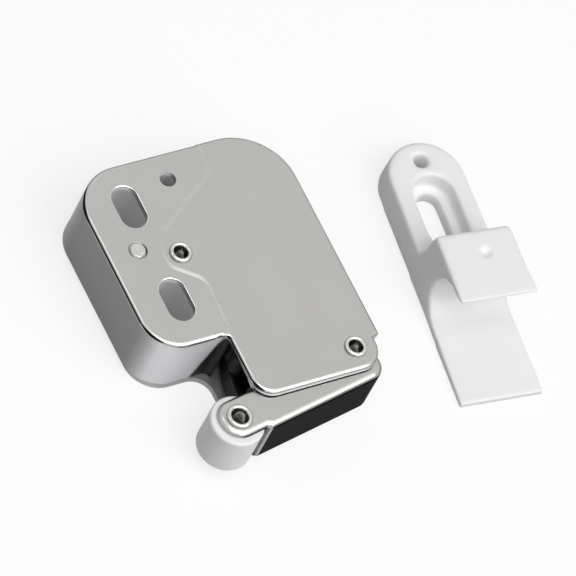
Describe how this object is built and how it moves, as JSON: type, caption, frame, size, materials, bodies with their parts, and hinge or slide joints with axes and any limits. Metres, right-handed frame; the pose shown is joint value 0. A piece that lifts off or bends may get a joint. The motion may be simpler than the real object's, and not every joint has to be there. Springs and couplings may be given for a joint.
{
  "type": "touch latch",
  "caption": "Touch latch for a cabinet door: a plated steel case with a white roller on a swinging arm, and the white hooked keeper that it grips.",
  "frame": {"origin": "midway between the two mounting slots of the latch, on its back face", "axes": "+Z out of the front plate, +Y along the line of the slots away from the roller, +X across the plate towards the arm pivot"},
  "size_m": [0.0631, 0.0475, 0.0121],
  "materials": {
    "nickel_sheet": "nickel plated, smooth",
    "rivet_steel": "nickel plated, bright",
    "spring_steel": "drawn wire",
    "white_plastic": "moulded, satin",
    "black_plastic": "moulded, satin"
  },
  "bodies": {
    "case": {"front_shell": "nickel_sheet", "back_plate": "nickel_sheet", "arm_rivet": "rivet_steel", "arm_sleeve": "rivet_steel", "lever_rivet": "rivet_steel", "lever_sleeve": "rivet_steel", "spacer_stud": "rivet_steel", "upper_slot_sleeve": "nickel_sheet", "lower_slot_sleeve": "nickel_sheet", "small_hole_sleeve": "nickel_sheet", "back_shim": "rivet_steel", "front_shim": "rivet_steel", "arm_spring": "spring_steel", "lever_spring": "spring_steel", "keeper": "white_plastic"},
    "arm": {"arm": "nickel_sheet", "cam_block": "black_plastic", "cam_pin": "rivet_steel", "roller_axle": "rivet_steel", "roller_bush": "rivet_steel"},
    "roller": {"roller": "white_plastic"},
    "follower": {"follower_lever": "black_plastic", "follower_pin": "rivet_steel"}
  },
  "joints": [
    {"name": "arm_swing", "type": "hinge", "parent": "case", "child": "arm", "pos_m": [0.0222, -0.02264, 0.0058], "axis": [0, 0, 1], "range_deg": [-9.4, 36], "deforming": ["arm_spring"]},
    {"name": "roller_spin", "type": "hinge", "parent": "arm", "child": "roller", "pos_m": [0.0009, -0.0277, 0.0058], "axis": [0, 0, 1], "continuous": true},
    {"name": "follower_swing", "type": "hinge", "parent": "case", "child": "follower", "pos_m": [0.0039, -0.00118, 0.0077], "axis": [0, 0, 1], "range_deg": [-1.2, 4.45], "deforming": ["lever_spring"]}
  ],
  "couplings": [
    {"joint": "follower_swing", "follows": "arm_swing", "ratio": 0.122}
  ]
}
